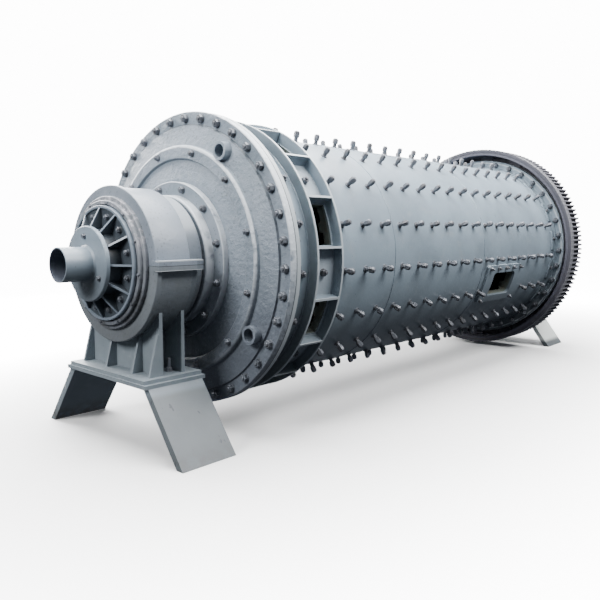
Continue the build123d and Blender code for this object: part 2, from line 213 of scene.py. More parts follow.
def arched(name: str, x_span: Level, radii: Level, span: float, steps: int,
           edge: float) -> bpy.types.Object:
    """Model a curved pad or a whole ring about the mill's axis.

    Args:
        name: Name of the pad.
        x_span: Where it starts and ends along X.
        radii: Its inner and outer radius.
        span: The angle it covers, in degrees. Less than 360 gives a pad with its middle on top.
        steps: Divisions along the curve.
        edge: Width of the bevel on its edges.

    Returns:
        The new object, bent about the line Y = 0, Z = AXIS_HEIGHT.
    """
    deselect()
    middle = Vector((sum(x_span) / 2, 0, AXIS_HEIGHT + sum(radii) / 2))
    bpy.ops.mesh.primitive_plane_add(size=1, location=middle, rotation=(pi / 2, 0, 0))
    piece = placed(name, (x_span[1] - x_span[0], radii[1] - radii[0], 1.0))
    bpy.ops.object.mode_set(mode="EDIT")
    bpy.ops.mesh.select_all(action="SELECT")
    if span >= 360:
        bpy.ops.mesh.delete(type="ONLY_FACE")
        bpy.ops.mesh.select_all(action="SELECT")
    bpy.ops.mesh.spin(steps=steps, angle=radians(span), center=(0, 0, AXIS_HEIGHT), axis=(1, 0, 0))
    bpy.ops.mesh.select_all(action="SELECT")
    bpy.ops.mesh.remove_doubles(threshold=1e-5)
    bpy.ops.mesh.normals_make_consistent(inside=False)
    bpy.ops.object.mode_set(mode="OBJECT")
    if span < 360:
        centre = sum((point.co for point in piece.data.vertices), Vector())
        centre /= len(piece.data.vertices)
        lean = Vector((0, 1)).angle_signed(Vector((centre.y, centre.z - AXIS_HEIGHT)))
        piece.data.transform(about_axis(lean))
    bevel = piece.modifiers.new("edges", "BEVEL")
    bevel.width, bevel.segments, bevel.limit_method = edge, 2, "ANGLE"
    bpy.ops.object.modifier_apply(modifier=bevel.name)
    return piece


def bead(name: str, x: float, radius: float, thickness: float, seed: int) -> bpy.types.Object:
    """Model an uneven weld bead round the axis.

    Args:
        name: Name of the bead.
        x: Its place along X.
        radius: Radius of its middle line.
        thickness: Half its width.
        seed: Seed of its unevenness.

    Returns:
        The new object.
    """
    deselect()
    bpy.ops.mesh.primitive_torus_add(location=(x, 0, AXIS_HEIGHT), rotation=(0, pi / 2, 0),
                                     major_segments=240, minor_segments=6,
                                     major_radius=radius, minor_radius=thickness)
    piece = placed(name)
    bpy.ops.object.mode_set(mode="EDIT")
    bpy.ops.mesh.select_all(action="SELECT")
    bpy.ops.transform.vertex_random(offset=thickness * 0.35, seed=seed)
    bpy.ops.object.mode_set(mode="OBJECT")
    return piece


def joined(name: str, pieces: Sequence[bpy.types.Object]) -> bpy.types.Object:
    """Join objects into one mesh.

    Args:
        name: Name of the joined object.
        pieces: The objects, of which the first takes in the others.

    Returns:
        The joined object.
    """
    deselect()
    for piece in pieces:
        piece.select_set(True)
    bpy.context.view_layer.objects.active = pieces[0]
    if len(pieces) > 1:
        bpy.ops.object.join()
    whole = bpy.context.view_layer.objects.active
    whole.name = whole.data.name = name
    return whole


def repeated(name: str, pattern: bpy.types.Object, places: Iterable[Matrix]) -> bpy.types.Object:
    """Copy a modelled piece to its places and join the copies.

    Args:
        name: Name of the joined piece.
        pattern: The piece that repeats. It is removed afterwards.
        places: Matrix of each copy.

    Returns:
        The joined object, at the origin.
    """
    copies = []
    for place in places:
        mesh = pattern.data.copy()
        mesh.transform(place)
        copy = bpy.data.objects.new(name + "_copy", mesh)
        bpy.context.scene.collection.objects.link(copy)
        copies.append(copy)
    bpy.data.objects.remove(pattern, do_unlink=True)
    return joined(name, copies)


class Value:
    """A number on a socket, which Python's operators turn into Math nodes."""

    def __init__(self, graph: "Graph", socket: bpy.types.NodeSocket) -> None:
        """Wrap a socket of a graph."""
        self.graph = graph
        self.socket = socket

    def _math(self, operation: str, *terms: "Number") -> "Value":
        """Add one Math node."""
        node = self.graph.add("ShaderNodeMath", dict(enumerate(terms)), operation=operation)
        return Value(self.graph, node.outputs[0])

    def __add__(self, other: "Number") -> "Value":
        """Sum."""
        return self._math("ADD", self, other)

    def __radd__(self, other: "Number") -> "Value":
        """Sum with a number on the left."""
        return self._math("ADD", other, self)

    def __sub__(self, other: "Number") -> "Value":
        """Difference."""
        return self._math("SUBTRACT", self, other)

    def __rsub__(self, other: "Number") -> "Value":
        """Difference with a number on the left."""
        return self._math("SUBTRACT", other, self)

    def __mul__(self, other: "Number") -> "Value":
        """Product."""
        return self._math("MULTIPLY", self, other)

    def __rmul__(self, other: "Number") -> "Value":
        """Product with a number on the left."""
        return self._math("MULTIPLY", other, self)

    def __pow__(self, other: "Number") -> "Value":
        """Power."""
        return self._math("POWER", self, other)

    def __abs__(self) -> "Value":
        """Size without sign."""
        return self._math("ABSOLUTE", self)

    def ramp(self, low: float, high: float) -> "Value":
        """Step smoothly from 0 to 1.

        Args:
            low: Where the step is 0.
            high: Where it is 1, which may be the smaller of the two.

        Returns:
            The step.
        """
        if low > high:
            return 1 - self.ramp(high, low)
        node = self.graph.add("ShaderNodeMapRange",
                              {"Value": self, "From Min": low, "From Max": high},
                              interpolation_type="SMOOTHSTEP")
        return Value(self.graph, node.outputs[0])

    def band(self, low: float, high: float, soft: float) -> "Value":
        """1 between two limits and 0 outside, with soft ends."""
        return self.ramp(low - soft, low) * self.ramp(high + soft, high)


Number = Union[Value, float]
Tint = Union[Color, bpy.types.NodeSocket]
Coat = Tuple[Value, Color]


class Nodes:
    """A node tree, with one way to add nodes to it."""

    def __init__(self, tree: bpy.types.NodeTree) -> None:
        """Take a tree and empty it."""
        self.tree = tree
        tree.nodes.clear()

    def add(self, kind: str, sockets: Dict[Union[int, str], object],
            **settings: object) -> bpy.types.Node:
        """Add one node.

        Args:
            kind: The node's type.
            sockets: Values or links by socket name or number.
            **settings: Its properties, which are set first.

        Returns:
            The node.
        """
        node = self.tree.nodes.new(kind)
        for key, value in settings.items():
            setattr(node, key, value)
        for key, value in sockets.items():
            socket = node.inputs[key]
            if isinstance(value, Value):
                self.tree.links.new(value.socket, socket)
            elif isinstance(value, bpy.types.NodeSocket):
                self.tree.links.new(value, socket)
            elif socket.type == "RGBA":
                socket.default_value = (*value, 1.0)
            else:
                socket.default_value = value
        return node


class Graph(Nodes):
    """The node tree of one material."""

    def __init__(self, tree: bpy.types.NodeTree) -> None:
        """Start a graph with the place on the object.

        Args:
            tree: The material's node tree, which is emptied.
        """
        super().__init__(tree)
        self.place = self.add("ShaderNodeTexCoord", {}).outputs["Object"]
        parts = self.add("ShaderNodeSeparateXYZ", {"Vector": self.place})
        self.x, self.y, self.z = (Value(self, socket) for socket in parts.outputs)
        self.rise = self.z - AXIS_HEIGHT
        self.radius = (self.y ** 2 + self.rise ** 2) ** 0.5

    def noise(self, scale: float, detail: float = 3.0, rough: float = 0.5,
              stretch: Point = (1.0, 1.0, 1.0)) -> Value:
        """Noise from 0 to 1.

        Args:
            scale: Its features are about 1 / scale metres wide.
            detail: How many finer layers lie over it.
            rough: How strong the finer layers are.
            stretch: Share of the scale along X, Y and Z.

        Returns:
            The noise.
        """
        where = self.add("ShaderNodeMapping", {"Vector": self.place, "Scale": stretch})
        node = self.add("ShaderNodeTexNoise", {"Vector": where.outputs[0], "Scale": scale,
                                               "Detail": detail, "Roughness": rough},
                        noise_dimensions="3D")
        return Value(self, node.outputs[0])

    def pits(self, scale: float) -> Value:
        """Distance to the nearest of many scattered points."""
        node = self.add("ShaderNodeTexVoronoi", {"Vector": self.place, "Scale": scale})
        return Value(self, node.outputs["Distance"])

    def mix(self, share: Value, base: Tint, other: Color) -> bpy.types.NodeSocket:
        """Blend one colour into another."""
        node = self.add("ShaderNodeMix", {0: share, 6: base, 7: other}, data_type="RGBA")
        return node.outputs[2]


def darker(color: Color, share: float) -> Color:
    """A colour at a share of its brightness."""
    return tuple(part * share for part in color)


def flange_joint(graph: Graph) -> Coat:
    """Dark line where the flanges of shell and head meet, near their rims."""
    line = abs(abs(graph.x) - SHELL_END).ramp(0.0045, 0.0025)
    return line * graph.radius.ramp(FLANGE_RADIUS - 0.04, FLANGE_RADIUS - 0.02) * 0.9, JOINT_SHADOW


class Finish(ABC):
    """A surface finish that makes one procedural material."""

    name: str
    color: Color
    metallic: float = 0.0
    relief_size: float = 0.002
    glow_strength: float = 0.0

    @abstractmethod
    def coats(self, graph: Graph) -> List[Coat]:
        """Share and colour of each coat over the finish's own colour, in order."""

    @abstractmethod
    def gloss(self, graph: Graph) -> Value:
        """Roughness over the surface."""

    @abstractmethod
    def relief(self, graph: Graph) -> Value:
        """Height over the surface, from 0 to 1."""

    def glow(self, graph: Graph) -> Tint:
        """Colour of the light that the surface gives off, if it gives any."""
        return (0.0, 0.0, 0.0)

    def tint(self, graph: Graph) -> Tint:
        """Lay every coat over the finish's own colour.

        Args:
            graph: The material's graph.

        Returns:
            The colour over the surface.
        """
        shown: Tint = self.color
        for share, color in self.coats(graph):
            shown = graph.mix(share, shown, color)
        return shown

    def material(self) -> bpy.types.Material:
        """Build the material.

        Returns:
            The new material, with the finish's name.
        """
        made = bpy.data.materials.new(self.name)
        made.use_nodes = True
        graph = Graph(made.node_tree)
        bump = graph.add("ShaderNodeBump", {"Strength": 1.0, "Distance": self.relief_size,
                                            "Height": self.relief(graph)})
        shader = graph.add("ShaderNodeBsdfPrincipled", {
            "Base Color": self.tint(graph), "Roughness": self.gloss(graph),
            "Metallic": self.metallic, "Normal": bump.outputs[0],
            "Emission Color": self.glow(graph), "Emission Strength": self.glow_strength})
        graph.add("ShaderNodeOutputMaterial", {"Surface": shader.outputs[0]})
        return made


@dataclass(frozen=True)
class Paint(Finish):
    """Satin paint on steel: mottled, a little dusty, with worn spots."""

    name: str
    color: Color
    shade: Color
    dust: Color = (0.28, 0.31, 0.33)
    roughness: float = 0.35
    grain: float = 60.0
    relief_size: float = 0.0012

    def coats(self, graph: Graph) -> List[Coat]:
        """Soft patches, dust and small chips.

        Args:
            graph: The material's graph.

        Returns:
            The three coats.
        """
        patches = graph.noise(2.2, 4.0, 0.6).ramp(0.35, 0.70)
        dusty = graph.noise(9.0, 5.0, 0.65).ramp(0.52, 0.78)
        chips = graph.noise(34.0, 3.0, 0.6).ramp(0.70, 0.76)
        return [(patches * 0.75, self.shade), (dusty * 0.35, self.dust),
                (chips * 0.6, darker(self.shade, 0.35))]

    def gloss(self, graph: Graph) -> Value:
        """Satin, duller where it is dusty."""
        return graph.noise(6.0, 3.0) * 0.24 + (self.roughness - 0.12)

    def relief(self, graph: Graph) -> Value:
        """Fine orange peel over faint waves."""
        return graph.noise(self.grain, 4.0, 0.6) * 0.7 + graph.noise(7.0) * 0.5


@dataclass(frozen=True)
class DrumPaint(Paint):
    """Paint of the drum: painted shade below, dull in the ports, painted highlights on thin outer
    edges.
    """

    # Painted shade towards the bottom.
    grime: Color = (0.072, 0.078, 0.078)
    # Painted light on the closed pocket floors.
    pocket_floor: Color = (0.42, 0.47, 0.51)
    ring_band: Color = (0.122, 0.142, 0.152)
    port_wall: Color = (0.085, 0.098, 0.080)
    # Painted highlight on thin outer edges.
    worn_edge: Color = (0.52, 0.56, 0.58)

    def coats(self, graph: Graph) -> List[Coat]:
        """Painted shade below, painted light on the closed pocket floors, the port ring's darker
        band and port walls, painted highlights on thin outer edges, and the flange joint.

        Args:
            graph: The material's graph.

        Returns:
            All its coats.
        """
        front = HOOP_FACES[0] + HOOP_THICKNESS / 2
        rear = HOOP_FACES[1] - HOOP_THICKNESS / 2
        above = graph.radius - SHELL_RADIUS
        # Painted shade: darker towards the bottom, in patches.
        below = graph.rise.ramp(0.15, -0.95) * (graph.noise(3.0, 5.0, 0.65) * 0.5 + 0.4)
        # Painted light: the floors of the closed pockets are lightened.
        pocket = graph.x.band(front, rear, 0.004) * above.ramp(0.009, 0.003)
        band = graph.x.ramp(front, HOOP_FACES[0]) * above.ramp(0.003, 0.011)
        wall = above.ramp(-0.0005, -0.0030)
        # Painted highlight on the thin outer edges of the hoops and the flange.
        edges = (graph.radius.band(HOOP_RADIUS - 0.0045, HOOP_RADIUS + 0.0070, 0.003)
                 + graph.radius.ramp(FLANGE_RADIUS - 0.004, FLANGE_RADIUS - 0.001))
        return super().coats(graph) + [
            (below, self.grime), (pocket * 0.4, self.pocket_floor), (band * 0.5, self.ring_band),
            (wall * 0.85, self.port_wall), (edges * 0.55, self.worn_edge), flange_joint(graph)]


@dataclass(frozen=True)
class CastPaint(Paint):
    """Paint on a rough casting: pitted, with paint lost in the hollows."""

    relief_size: float = 0.005
    # Radii whose grooves get painted shade.
    grooves: Tuple[Level, ...] = ()
    # Radii whose edges get a painted highlight.
    edges: Tuple[Level, ...] = ()
    # Painted shade towards the bottom.
    grime: Color = (0.072, 0.080, 0.098)
    # Painted highlight on the edges.
    worn_edge: Color = (0.56, 0.60, 0.64)

    def coats(self, graph: Graph) -> List[Coat]:
        """Dark pits, painted shade in the grooves and below, painted highlights on the edges, and
        the flange joint.

        Args:
            graph: The material's graph.

        Returns:
            All its coats.
        """
        pitted = graph.pits(38.0).ramp(0.34, 0.10) * graph.noise(5.0).ramp(0.40, 0.60)
        coats = super().coats(graph) + [(pitted * 0.5, darker(self.shade, 0.40))]
        for inner, outer in self.grooves:
            # Painted shade in each groove.
            groove = graph.radius.band(inner, outer, 0.004)
            coats.append((groove * 0.6, darker(self.shade, 0.30)))
        for inner, outer in self.edges:
            # Painted highlight on each edge, in patches and stronger on top.
            worn = graph.radius.band(inner, outer, 0.003) * graph.noise(11.0).ramp(0.25, 0.45)
            coats.append((worn * (graph.rise.ramp(-0.5, 0.3) * 0.5 + 0.3), self.worn_edge))
        # Painted shade: darker towards the bottom, in patches.
        low = graph.rise.ramp(0.25, -0.65) * (graph.noise(4.0, 5.0, 0.65) * 0.5 + 0.45)
        return coats + [(low, self.grime), flange_joint(graph)]

    def relief(self, graph: Graph) -> Value:
        """Lumpy casting skin."""
        return (graph.noise(26.0, 5.0, 0.62) * 0.8 + graph.noise(90.0, 3.0) * 0.25
                + graph.pits(30.0) * 0.25)


@dataclass(frozen=True)
class GearPaint(Paint):
    """Dull paint on the gear, darkened between the teeth by lubricant and painted shade, with its
    joint line.
    """

    joint_angle: float = 68.75
    # Share of lubricant and painted shade between the teeth.
    greasy: float = 0.7
    # Lubricant and painted shade between the teeth.
    grease: Color = (0.030, 0.030, 0.036)
    tip: Color = (0.34, 0.34, 0.36)
    joint: Color = (0.012, 0.012, 0.014)

    def coats(self, graph: Graph) -> List[Coat]:
        """Lubricant and painted shade between the teeth, worn tooth tips and the dark joint.

        Args:
            graph: The material's graph.

        Returns:
            All its coats.
        """
        turn = radians(self.joint_angle)
        across = abs(graph.y * sin(turn) + graph.rise * cos(turn))
        # Lubricant and painted shade over the teeth below their tips.
        flanks = graph.radius.band(GEAR_ROOT_RADIUS - 0.004, GEAR_TIP_RADIUS - 0.010, 0.004)
        tips = graph.radius.ramp(GEAR_TIP_RADIUS - 0.008, GEAR_TIP_RADIUS - 0.002)
        return super().coats(graph) + [
            (flanks * self.greasy, self.grease), (tips * 0.35, self.tip),
            (across.ramp(0.0022, 0.0010) * 0.9, self.joint)]


@dataclass(frozen=True)
class CoverPaint(Paint):
    """Paint of the ribbed cover: painted shade lies between its ribs."""

    rib_front: float = 0.765
    rib_root: float = 0.225
    rib_slope: float = 0.568
    ribbed: Level = (0.216, 0.350)
    # Painted shade between the ribs.
    grime: Color = (0.022, 0.028, 0.034)

    def coats(self, graph: Graph) -> List[Coat]:
        """Painted shade behind the slanting front edges of the ribs.

        Args:
            graph: The material's graph.

        Returns:
            All its coats.
        """
        edge = self.rib_front - (graph.radius - self.rib_root) * self.rib_slope
        depth = (edge - abs(graph.x) + HEAD_FACE).ramp(0.003, 0.010)
        # Painted shade in the recesses behind the ribs' front edges.
        sunk = graph.radius.band(*self.ribbed, 0.003) * depth
        return super().coats(graph) + [(sunk * 0.85, self.grime)]


@dataclass(frozen=True)
class PipePaint(Paint):
    """Paint outside the pipe, and darker and duller within the bore."""

    bore: Color = (0.095, 0.110, 0.142)
    underside: Color = (0.060, 0.068, 0.078)

    def inside(self, graph: Graph) -> Value:
        """1 within the bore and 0 outside the pipe."""
        return graph.radius.ramp(PIPE_BORE_RADIUS + 0.0020, PIPE_BORE_RADIUS + 0.0003)

    def coats(self, graph: Graph) -> List[Coat]:
        """Shade on the underside, and darker within the bore."""
        below = graph.rise.ramp(0.10, -0.12) * 0.6
        return super().coats(graph) + [(below, self.underside), (self.inside(graph), self.bore)]

    def gloss(self, graph: Graph) -> Value:
        """Satin outside and quite dull within the bore."""
        return super().gloss(graph) + self.inside(graph) * 0.5


@dataclass(frozen=True)
class StandPaint(Paint):
    """Dull paint of the stand: scraped, soiled below, with darker near legs and painted light on
    the gear end's near leg.
    """

    soil: Color = (0.085, 0.075, 0.060)
    leg: Color = (0.100, 0.112, 0.120)
    # Painted light on the gear end's near leg.
    bleached: Color = (0.68, 0.71, 0.69)
    nick: Color = (0.040, 0.045, 0.050)
    scrape: Color = (0.50, 0.52, 0.52)

    def coats(self, graph: Graph) -> List[Coat]:
        """Soil near the ground, darker nicked near legs, painted light on the gear end's near leg,
        and scrapes.

        Args:
            graph: The material's graph.

        Returns:
            All its coats.
        """
        soiled = graph.z.ramp(0.16, 0.0) * graph.noise(14.0, 5.0, 0.7).ramp(0.30, 0.62)
        near_leg = graph.y.ramp(-0.40, -0.52) * graph.z.ramp(0.42, 0.38)
        # Painted light on the near leg at the gear end.
        lit_leg = near_leg * graph.x.ramp(-0.5, 0.5) * graph.z.ramp(0.04, 0.09)
        nicks = graph.noise(13.0, 2.0, 0.5, (1.6, 1.6, 0.5)).ramp(0.680, 0.705) * near_leg
        scrapes = graph.noise(4.0, 3.0, 0.5, (1.0, 6.0, 2.0)).ramp(0.70, 0.73) * (1 - near_leg)
        return super().coats(graph) + [
            (soiled * 0.8, self.soil), (near_leg * 0.8, self.leg), (lit_leg * 0.85, self.bleached),
            (nicks * 0.6, self.nick), (scrapes * 0.5, self.scrape)]


@dataclass(frozen=True)
class HousingPaint(CastPaint):
    """Paint of the bearing housings: oily below the split, painted light on the rear seal's top
    and painted shade on its sides.
    """

    oil: Color = (0.098, 0.098, 0.072)
    # Painted light on the rear seal's top.
    seal_top: Color = (0.60, 0.64, 0.66)
    # Painted shade on the rear seal's sides.
    seal_side: Color = (0.080, 0.095, 0.110)
    # Painted highlight on the split bars' edges.
    bar_edge: Color = (0.56, 0.60, 0.62)
    seam: Color = (0.020, 0.022, 0.024)

    def coats(self, graph: Graph) -> List[Coat]:
        """Oil stains, painted light and painted shade on the rear seal, painted highlights on the
        bar edges, and the seam.

        Args:
            graph: The material's graph.

        Returns:
            All its coats.
        """
        oily = graph.rise.ramp(0.01, -0.01) * (graph.noise(7.0, 5.0, 0.65) * 0.5 + 0.05)
        rear = (abs(graph.x) - HEAD_FACE).ramp(0.345, 0.335)
        # Painted highlight on the edges of the split bars.
        bar = abs(graph.rise).band(0.0275, 0.0360, 0.001) * abs(graph.y).ramp(0.505, 0.512)
        return super().coats(graph) + [
            # Painted light on top of the rear seal and painted shade on its sides.
            (oily, self.oil), (rear * graph.rise.ramp(0.16, 0.26) * 0.4, self.seal_top),
            (rear * graph.rise.ramp(0.26, 0.16) * 0.5, self.seal_side),
            (bar * 0.6, self.bar_edge), (abs(graph.rise).ramp(0.0028, 0.0012) * 0.85, self.seam)]


@dataclass(frozen=True)
class SealPaint(CastPaint):
    """Paint of a seal's face: painted highlight in patches above and painted shade in patches
    below.
    """

    # Painted highlight in pale patches above.
    scuff: Color = (0.58, 0.56, 0.60)
    # Painted shade in dark patches below.
    grease: Color = (0.035, 0.036, 0.034)

    def coats(self, graph: Graph) -> List[Coat]:
        """Painted highlight in pale patches above and painted shade in dark patches below.

        Args:
            graph: The material's graph.

        Returns:
            All its coats.
        """
        # Painted highlight in pale patches on the upper part.
        highlit_above = graph.noise(16.0, 5.0, 0.7).ramp(0.45, 0.62) * graph.rise.ramp(0.05, 0.25)
        # Painted shade in dark patches on the lower part.
        shaded_below = graph.noise(9.0, 5.0, 0.7).ramp(0.38, 0.60) * graph.rise.ramp(0.10, -0.15)
        return super().coats(graph) + [(highlit_above * 0.6, self.scuff), (shaded_below * 0.7, self.grease)]


@dataclass(frozen=True)
class BareSteel(Finish):
    """Unpainted steel: dark, oily or rusty, and brighter where it is worn."""

    name: str
    color: Color
    rust: Color
    metallic: float = 0.55
    roughness: float = 0.48
    relief_size: float = 0.0010

    def coats(self, graph: Graph) -> List[Coat]:
        """Rust in patches."""
        return [(graph.noise(18.0, 5.0, 0.65).ramp(0.42, 0.68) * 0.7, self.rust)]

    def gloss(self, graph: Graph) -> Value:
        """Rougher on the rust."""
        return graph.noise(18.0, 5.0, 0.65) * 0.30 + (self.roughness - 0.10)

    def relief(self, graph: Graph) -> Value:
        """Scale and tool marks."""
        return graph.noise(120.0, 4.0, 0.6) * 0.6 + graph.noise(30.0) * 0.4


@dataclass(frozen=True)
class FloorFinish(Finish):
    """Plain pale studio floor that fades into the backdrop away from the mill."""

    name: str = "studio_floor"
    color: Color = (0.86, 0.86, 0.86)
    cloud: Color = (0.83, 0.83, 0.83)
    relief_size: float = 0.0005
    glow_strength: float = BACKDROP_STRENGTH

    def coats(self, graph: Graph) -> List[Coat]:
        """Very faint clouds."""
        return [(graph.noise(0.5, 2.0) * 0.3, self.cloud)]

    def gloss(self, graph: Graph) -> Value:
        """Matt."""
        return graph.noise(2.0) * 0.1 + 0.80

    def relief(self, graph: Graph) -> Value:
        """Almost flat."""
        return graph.noise(3.0)

    def glow(self, graph: Graph) -> Tint:
        """Nothing under the mill, and the white of the backdrop further out."""
        reach = (graph.x ** 2 * 0.25 + graph.y ** 2) ** 0.5
        return graph.mix(reach.ramp(0.9, 4.2) ** 2.0, (0.0, 0.0, 0.0), (1.0, 1.0, 1.0))


FINISHES: Dict[str, Finish] = {
    "drum_paint": DrumPaint("drum_paint", PAINT_BLUE_GREY, PAINT_SHADE),
    "head_paint": CastPaint(
        "head_paint", (0.205, 0.244, 0.290), PAINT_SHADE, roughness=0.46, relief_size=0.009,
        # Grooves that get painted shade and edges that get a painted highlight.
        grooves=((BOSS_RING[0] - 0.008, BOSS_RING[0] - 0.001),
                 (HEAD_FOOT_RADIUS - 0.006, HEAD_FOOT_RADIUS + 0.002)),
        edges=((BOSS_RING[1] - 0.014, BOSS_RING[1] + 0.002),
               (FLANGE_RADIUS - 0.006, FLANGE_RADIUS + 0.001))),
    "gear_paint": GearPaint("gear_paint", (0.052, 0.053, 0.072), (0.038, 0.039, 0.056),
                            dust=(0.12, 0.12, 0.12), roughness=0.62),
    "trunnion_paint": CastPaint(
        "trunnion_paint", (0.208, 0.240, 0.280), PAINT_SHADE, relief_size=0.0025,
        # Edges that get a painted highlight.
        edges=((TRUNNION_HUB_RADIUS - 0.011, TRUNNION_HUB_RADIUS + 0.001),
               (TRUNNION_FLANGE_RADIUS - 0.005, TRUNNION_FLANGE_RADIUS + 0.001))),
    "cover_paint": CoverPaint("cover_paint", (0.172, 0.208, 0.250), (0.118, 0.146, 0.180)),
    "pipe_paint": PipePaint("pipe_paint", (0.205, 0.254, 0.300), PAINT_SHADE),
    "housing_paint": HousingPaint("housing_paint", (0.200, 0.232, 0.274), (0.152, 0.178, 0.212),
                                  relief_size=0.0025),
    "stand_paint": StandPaint("stand_paint", (0.186, 0.220, 0.246), (0.138, 0.164, 0.186),
                              roughness=0.50),
    "liner_steel": BareSteel("liner_steel", (0.100, 0.115, 0.100), (0.110, 0.100, 0.075),
                             metallic=0.30),
    "bush_metal": BareSteel("bush_metal", (0.520, 0.390, 0.200), (0.300, 0.210, 0.110),
                            metallic=0.9, roughness=0.34),
}
BOLT_STEEL = BareSteel("bolt_steel", (0.122, 0.136, 0.158), (0.072, 0.072, 0.076),
                       metallic=0.25, roughness=0.40)
STUD_STEEL = BareSteel("stud_steel", (0.125, 0.135, 0.155), (0.075, 0.070, 0.068),
                       metallic=0.30, roughness=0.44)
WELD_PAINT = CastPaint("weld_paint", PAINT_BLUE_GREY, PAINT_SHADE, relief_size=0.002)
BAND_PAINT = GearPaint("gear_band_paint", (0.034, 0.034, 0.046), (0.024, 0.025, 0.036),
                       dust=(0.10, 0.10, 0.10), roughness=0.66, greasy=0.0)
SEAL_PAINT = SealPaint("seal_paint", (0.190, 0.205, 0.228), (0.130, 0.142, 0.160),
                       relief_size=0.004)
NODE_FINISHES: Dict[str, Finish] = {"port_end_front_seal": SEAL_PAINT,
                                    "gear_end_front_seal": SEAL_PAINT}


class Palette:
    """Materials that have been made, one for each finish."""

    def __init__(self) -> None:
        """Start empty."""
        self._made: Dict[str, bpy.types.Material] = {}

    def get(self, finish: Finish) -> bpy.types.Material:
        """Give the material of a finish, which is made at its first use.

        Args:
            finish: The finish.

        Returns:
            Its material.
        """
        if finish.name not in self._made:
            self._made[finish.name] = finish.material()
        return self._made[finish.name]


class Assembly(ABC):
    """A group of pieces that is modelled, dressed and put on its body."""

    palette: Palette

    @abstractmethod
    def build(self) -> None:
        """Model and dress every piece of the group."""

    def dress(self, piece: bpy.types.Object, finish: Finish, body: Body, slot: str) -> None:
        """Give a piece its finish and body, and report it.

        Args:
            piece: The finished piece.
            finish: Its finish.
            body: The body that it rides on.
            slot: The record's material slot that it belongs to. Not used.
        """
        deselect()
        piece.select_set(True)
        bpy.context.view_layer.objects.active = piece
        bpy.ops.object.shade_smooth_by_angle(angle=radians(SMOOTH_BELOW))
        piece.data.materials.clear()
        piece.data.materials.append(self.palette.get(finish))
        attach(piece, body.value)
        log.info("%s: %d faces on %s", piece.name, len(piece.data.polygons), body.value)


@dataclass(frozen=True)
class Fastener:
    """A hexagon on a washer or up on a stem, with a stud end above it."""

    flats: float
    height: float
    washer: float
    washer_height: float = 0.005
    stud: float = 0.0
    stud_height: float = 0.0
    stem: float = 0.0
    sink: float = 0.002

    def pattern(self, name: str) -> bpy.types.Object:
        """Model one fastener upward from its seat.

        Args:
            name: Start of the names of its parts.

        Returns:
            The joined fastener.
        """
        corner = self.flats / 2 / cos(pi / 6)
        seat = self.washer_height
        base = seat + self.stem
        top = base + self.height
        parts = [
            turned(name + "_washer", 12, [
                (-self.sink, self.washer), (seat * 0.7, self.washer), (seat, self.washer * 0.95)]),
            turned(name + "_nut", 6, [
                (base - seat * 0.5, corner * 0.90), (base + self.height * 0.12, corner),
                (base + self.height * 0.82, corner), (top, corner * 0.87)]),
        ]
        if self.stud > 0:
            end = top + self.stud_height
            parts.append(turned(name + "_stud", 8, [
                (seat * 0.5, self.stud), (end - self.stud * 0.3, self.stud),
                (end, self.stud * 0.72)]))
        return joined(name, parts)


@dataclass(frozen=True)
class BoltCircle:
    """Fasteners at even angles on a flat round face."""

    name: str
    fastener: Fastener
    radius: float
    first: float
    count: int
    outward: float
    gear_web: float = 0.0
    way: int = 1
    body: Body = Body.DRUM

    def places(self, end: End) -> List[Matrix]:
        """Place the circle's fasteners at one end, each with its own turn.

        Args:
            end: The end of the mill. At the gear's end its web may lie under them.

        Returns:
            The matrix of each fastener.
        """
        chance = random.Random(self.name + end.prefix)
        face = end.x(self.outward + (self.gear_web if end is End.GEAR else 0.0))
        return [on_face(face, self.radius, angle, self.way * end.value, chance.uniform(0, 60))
                for angle in angles(self.first, self.count)]


RIM_BOLT = Fastener(0.050, 0.026, 0.031, stud=0.0145, stud_height=0.010)


@dataclass
class HeadBolts(Assembly):
    """Bolt circles of the heads, trunnions, covers and pipe flanges."""

    palette: Palette
    circles: Tuple[BoltCircle, ...] = (
        BoltCircle("rim_bolts", RIM_BOLT,
                   radius=0.992, first=-1.0, count=36, outward=0.0, gear_web=0.040),
        BoltCircle("rim_nuts", RIM_BOLT,
                   radius=0.992, first=-1.0, count=36, outward=-0.090, way=-1),
        BoltCircle("boss_ring_bolts",
                   Fastener(0.037, 0.022, 0.024, stud=0.011, stud_height=0.009),
                   radius=0.756, first=16.0, count=12, outward=0.080),
        BoltCircle("trunnion_bolts",
                   Fastener(0.041, 0.024, 0.027, stud=0.012, stud_height=0.009),
                   radius=0.505, first=15.0, count=12, outward=0.125),
        BoltCircle("cover_bolts",
                   Fastener(0.032, 0.019, 0.022, stud=0.0095, stud_height=0.006),
                   radius=0.305, first=15.0, count=12, outward=0.678),
        BoltCircle("pipe_flange_bolts", Fastener(0.026, 0.015, 0.018),
                   radius=0.175, first=92.0, count=3, outward=0.795),
        BoltCircle("seal_screws", Fastener(0.015, 0.008, 0.010, 0.002),
                   radius=0.392, first=52.0, count=12, outward=0.668, body=Body.STAND),
    )

    def build(self) -> None:
        """Model each circle at both ends."""
        for end in End:
            for circle in self.circles:
                name = f"{end.prefix}_{circle.name}"
                pattern = circle.fastener.pattern(name + "_pattern")
                piece = repeated(name, pattern, circle.places(end))
                self.dress(piece, BOLT_STEEL, circle.body, "head_paint")


